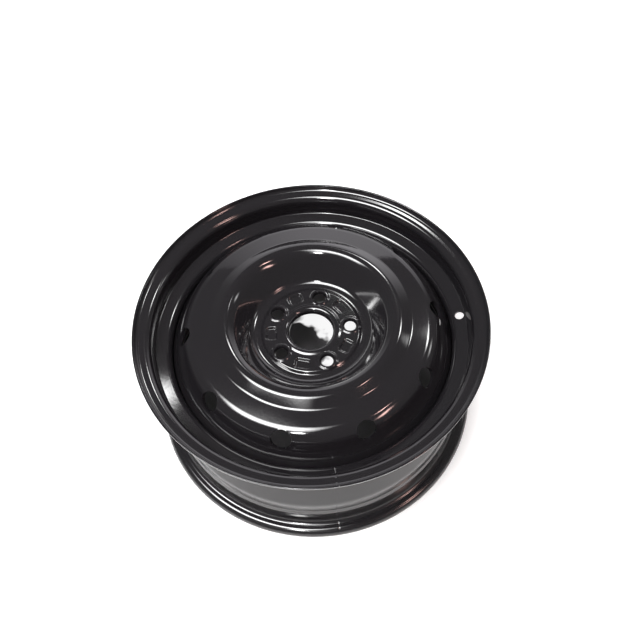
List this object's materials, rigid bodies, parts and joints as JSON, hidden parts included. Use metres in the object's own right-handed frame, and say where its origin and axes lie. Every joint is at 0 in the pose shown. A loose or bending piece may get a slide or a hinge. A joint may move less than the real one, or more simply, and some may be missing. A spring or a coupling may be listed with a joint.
{
  "type": "steel car wheel",
  "caption": "Pressed-steel car wheel: rolled drop-centre rim and a welded disc with bowl, centre bore, bolt holes and round vents.",
  "frame": {"origin": "centre of the base, where the inboard flange rests, on the wheel's axle", "axes": "+Z along the axle towards the street side; +X about 3 degrees short of the valve hole"},
  "size_m": [0.4402, 0.4402, 0.1866],
  "materials": {
    "rim_gloss_black": "gloss black paint",
    "disc_gloss_black": "gloss black paint",
    "weld_painted_black": "black paint over weld metal"
  },
  "bodies": {
    "root": {"rim": "rim_gloss_black", "disc": "disc_gloss_black", "weld_bead_01": "weld_painted_black", "weld_bead_02": "weld_painted_black", "weld_bead_03": "weld_painted_black", "weld_bead_04": "weld_painted_black", "weld_bead_05": "weld_painted_black", "weld_bead_06": "weld_painted_black", "weld_bead_07": "weld_painted_black", "weld_bead_08": "weld_painted_black", "weld_bead_09": "weld_painted_black", "weld_bead_10": "weld_painted_black"}
  },
  "joints": []
}
